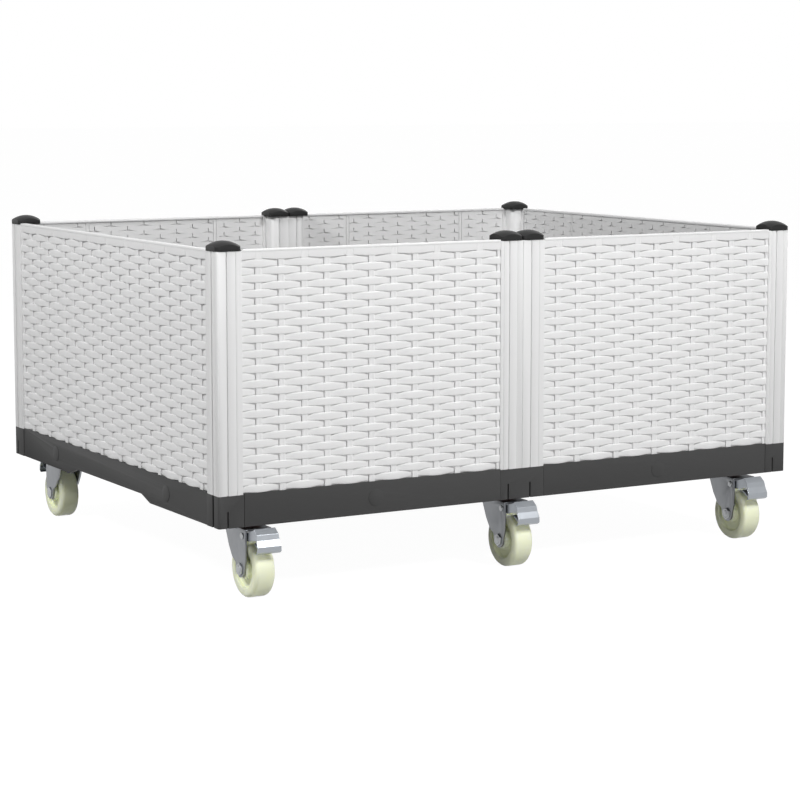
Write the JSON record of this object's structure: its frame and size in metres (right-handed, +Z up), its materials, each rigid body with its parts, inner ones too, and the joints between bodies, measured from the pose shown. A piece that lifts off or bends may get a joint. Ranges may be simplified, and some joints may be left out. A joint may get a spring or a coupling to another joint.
{
  "type": "rolling planter",
  "caption": "Free-standing rolling planter: two joined dark base trays, pale woven-look wall panels between capped corner posts, and braked swivel casters.",
  "frame": {"origin": "on the floor under the middle of the planter, with the wheels standing on z = 0", "axes": "+X along the length, -Y towards the front, +Z up"},
  "size_m": [0.7814, 0.6464, 0.3956],
  "materials": {
    "tray_plastic": "fine moulded texture, satin",
    "panel_plastic": "moulded weave, satin",
    "post_plastic": "smooth satin",
    "cap_plastic": "satin",
    "wheel_plastic": "smooth, slightly waxy",
    "fork_steel": "zinc plated, pressed",
    "pedal_steel": "zinc plated, bluish",
    "bolt_steel": "zinc plated, turned",
    "ring_steel": "dark greased race"
  },
  "bodies": {
    "planter": {"base_tray_left": "tray_plastic", "base_tray_right": "tray_plastic", "joining_clip_front": "tray_plastic", "joining_clip_back": "tray_plastic", "panel_front_left": "panel_plastic", "panel_front_right": "panel_plastic", "panel_back_left": "panel_plastic", "panel_back_right": "panel_plastic", "panel_left": "panel_plastic", "panel_right": "panel_plastic", "post_front_left": "post_plastic", "post_front_mid_left": "post_plastic", "post_front_mid_right": "post_plastic", "post_front_right": "post_plastic", "post_back_left": "post_plastic", "post_back_mid_left": "post_plastic", "post_back_mid_right": "post_plastic", "post_back_right": "post_plastic", "cap_front_left": "cap_plastic", "cap_front_mid_left": "cap_plastic", "cap_front_mid_right": "cap_plastic", "cap_front_right": "cap_plastic", "cap_back_left": "cap_plastic", "cap_back_mid_left": "cap_plastic", "cap_back_mid_right": "cap_plastic", "cap_back_right": "cap_plastic", "caster_plate_front_left": "fork_steel", "caster_plate_front_middle": "fork_steel", "caster_plate_front_right": "fork_steel", "caster_plate_back_left": "fork_steel", "caster_plate_back_middle": "fork_steel", "caster_plate_back_right": "fork_steel", "king_pins": "bolt_steel", "bearing_rings": "ring_steel", "caster_screws": "bolt_steel"},
    "swivel_front_left": {"fork_front_left": "fork_steel", "axle_set_front_left": "bolt_steel"},
    "roller_front_left": {"wheel_front_left": "wheel_plastic"},
    "pedal_front_left": {"brake_pedal_front_left": "pedal_steel"},
    "swivel_front_middle": {"fork_front_middle": "fork_steel", "axle_set_front_middle": "bolt_steel"},
    "roller_front_middle": {"wheel_front_middle": "wheel_plastic"},
    "pedal_front_middle": {"brake_pedal_front_middle": "pedal_steel"},
    "swivel_front_right": {"fork_front_right": "fork_steel", "axle_set_front_right": "bolt_steel"},
    "roller_front_right": {"wheel_front_right": "wheel_plastic"},
    "pedal_front_right": {"brake_pedal_front_right": "pedal_steel"},
    "swivel_back_left": {"fork_back_left": "fork_steel", "axle_set_back_left": "bolt_steel"},
    "roller_back_left": {"wheel_back_left": "wheel_plastic"},
    "pedal_back_left": {"brake_pedal_back_left": "pedal_steel"},
    "swivel_back_middle": {"fork_back_middle": "fork_steel", "axle_set_back_middle": "bolt_steel"},
    "roller_back_middle": {"wheel_back_middle": "wheel_plastic"},
    "pedal_back_middle": {"brake_pedal_back_middle": "pedal_steel"},
    "swivel_back_right": {"fork_back_right": "fork_steel", "axle_set_back_right": "bolt_steel"},
    "roller_back_right": {"wheel_back_right": "wheel_plastic"},
    "pedal_back_right": {"brake_pedal_back_right": "pedal_steel"}
  },
  "joints": [
    {"name": "swivel_turn_front_left", "type": "hinge", "parent": "planter", "child": "swivel_front_left", "pos_m": [-0.3367, -0.2542, 0.0753], "axis": [0, 0, 1], "continuous": true},
    {"name": "wheel_spin_front_left", "type": "hinge", "parent": "swivel_front_left", "child": "roller_front_left", "pos_m": [-0.3367, -0.2826, 0.03175], "axis": [1, 0, 0], "continuous": true},
    {"name": "brake_press_front_left", "type": "hinge", "parent": "swivel_front_left", "child": "pedal_front_left", "pos_m": [-0.3367, -0.2882, 0.0701], "axis": [1, 0, 0], "range_deg": [0, 15]},
    {"name": "swivel_turn_front_middle", "type": "hinge", "parent": "planter", "child": "swivel_front_middle", "pos_m": [0, -0.2542, 0.0753], "axis": [0, 0, 1], "continuous": true},
    {"name": "wheel_spin_front_middle", "type": "hinge", "parent": "swivel_front_middle", "child": "roller_front_middle", "pos_m": [0, -0.2826, 0.03175], "axis": [1, 0, 0], "continuous": true},
    {"name": "brake_press_front_middle", "type": "hinge", "parent": "swivel_front_middle", "child": "pedal_front_middle", "pos_m": [0, -0.2882, 0.0701], "axis": [1, 0, 0], "range_deg": [0, 15]},
    {"name": "swivel_turn_front_right", "type": "hinge", "parent": "planter", "child": "swivel_front_right", "pos_m": [0.3367, -0.2542, 0.0753], "axis": [0, 0, 1], "continuous": true},
    {"name": "wheel_spin_front_right", "type": "hinge", "parent": "swivel_front_right", "child": "roller_front_right", "pos_m": [0.3367, -0.2826, 0.03175], "axis": [1, 0, 0], "continuous": true},
    {"name": "brake_press_front_right", "type": "hinge", "parent": "swivel_front_right", "child": "pedal_front_right", "pos_m": [0.3367, -0.2882, 0.0701], "axis": [1, 0, 0], "range_deg": [0, 15]},
    {"name": "swivel_turn_back_left", "type": "hinge", "parent": "planter", "child": "swivel_back_left", "pos_m": [-0.3367, 0.2542, 0.0753], "axis": [0, 0, 1], "continuous": true},
    {"name": "wheel_spin_back_left", "type": "hinge", "parent": "swivel_back_left", "child": "roller_back_left", "pos_m": [-0.3367, 0.2826, 0.03175], "axis": [1, 0, 0], "continuous": true},
    {"name": "brake_press_back_left", "type": "hinge", "parent": "swivel_back_left", "child": "pedal_back_left", "pos_m": [-0.3367, 0.2882, 0.0701], "axis": [-1, 0, 0], "range_deg": [0, 15]},
    {"name": "swivel_turn_back_middle", "type": "hinge", "parent": "planter", "child": "swivel_back_middle", "pos_m": [0, 0.2542, 0.0753], "axis": [0, 0, 1], "continuous": true},
    {"name": "wheel_spin_back_middle", "type": "hinge", "parent": "swivel_back_middle", "child": "roller_back_middle", "pos_m": [0, 0.2826, 0.03175], "axis": [1, 0, 0], "continuous": true},
    {"name": "brake_press_back_middle", "type": "hinge", "parent": "swivel_back_middle", "child": "pedal_back_middle", "pos_m": [0, 0.2882, 0.0701], "axis": [-1, 0, 0], "range_deg": [0, 15]},
    {"name": "swivel_turn_back_right", "type": "hinge", "parent": "planter", "child": "swivel_back_right", "pos_m": [0.3367, 0.2542, 0.0753], "axis": [0, 0, 1], "continuous": true},
    {"name": "wheel_spin_back_right", "type": "hinge", "parent": "swivel_back_right", "child": "roller_back_right", "pos_m": [0.3367, 0.2826, 0.03175], "axis": [1, 0, 0], "continuous": true},
    {"name": "brake_press_back_right", "type": "hinge", "parent": "swivel_back_right", "child": "pedal_back_right", "pos_m": [0.3367, 0.2882, 0.0701], "axis": [-1, 0, 0], "range_deg": [0, 15]}
  ]
}
